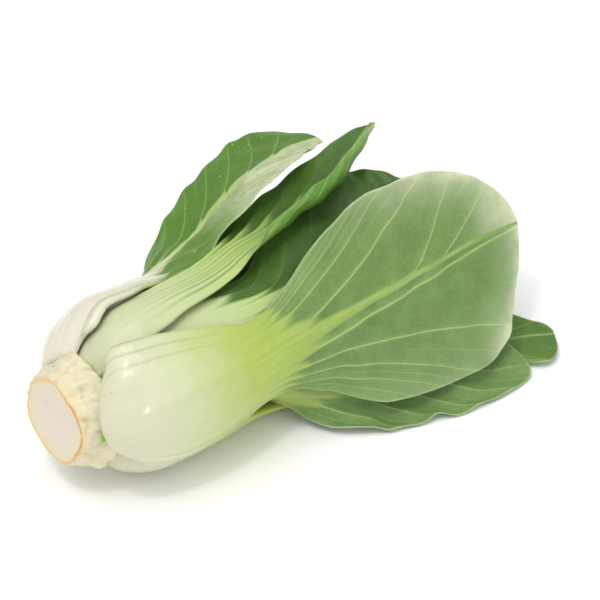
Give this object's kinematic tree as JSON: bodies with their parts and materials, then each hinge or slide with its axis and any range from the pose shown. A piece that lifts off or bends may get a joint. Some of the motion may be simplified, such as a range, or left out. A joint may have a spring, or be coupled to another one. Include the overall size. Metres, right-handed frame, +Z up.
{
  "type": "bok choy",
  "caption": "Whole green-stalked bok choy, cut off at the root and lying on its side, with spoon-shaped stalks that clasp a short stem and widen into rounded green leaves.",
  "frame": {"origin": "on the surface the plant lies on, under the middle of its bounding box", "axes": "+X along the plant from the cut stem to the leaf tips, +Z up"},
  "size_m": [0.2052, 0.1356, 0.0842],
  "materials": {
    "outer_leaf": "greyish green underside with pale veins, on a smooth white to pale green stalk",
    "bright_leaf": "bright green blade with thin light veins, on a glossy cream-white stalk",
    "dark_leaf": "dark green satin blade, on a ribbed pale green stalk",
    "inner_leaf": "middle green satin blade on a pale green stalk",
    "heart_leaf": "yellow-green, soft and satin",
    "cut_stem": "pale beige moist cut face with a cream rim"
  },
  "bodies": {
    "root": {"outer_leaf_front": "outer_leaf", "outer_leaf_below": "outer_leaf", "outer_leaf_low_back": "outer_leaf", "outer_leaf_back": "bright_leaf", "outer_leaf_top": "dark_leaf", "inner_leaf_top": "dark_leaf", "inner_leaf_back": "inner_leaf", "inner_leaf_below": "inner_leaf", "heart_leaf_top": "heart_leaf", "heart_leaf_below": "heart_leaf", "heart_leaf_front": "heart_leaf", "stem_base": "cut_stem"}
  },
  "joints": []
}
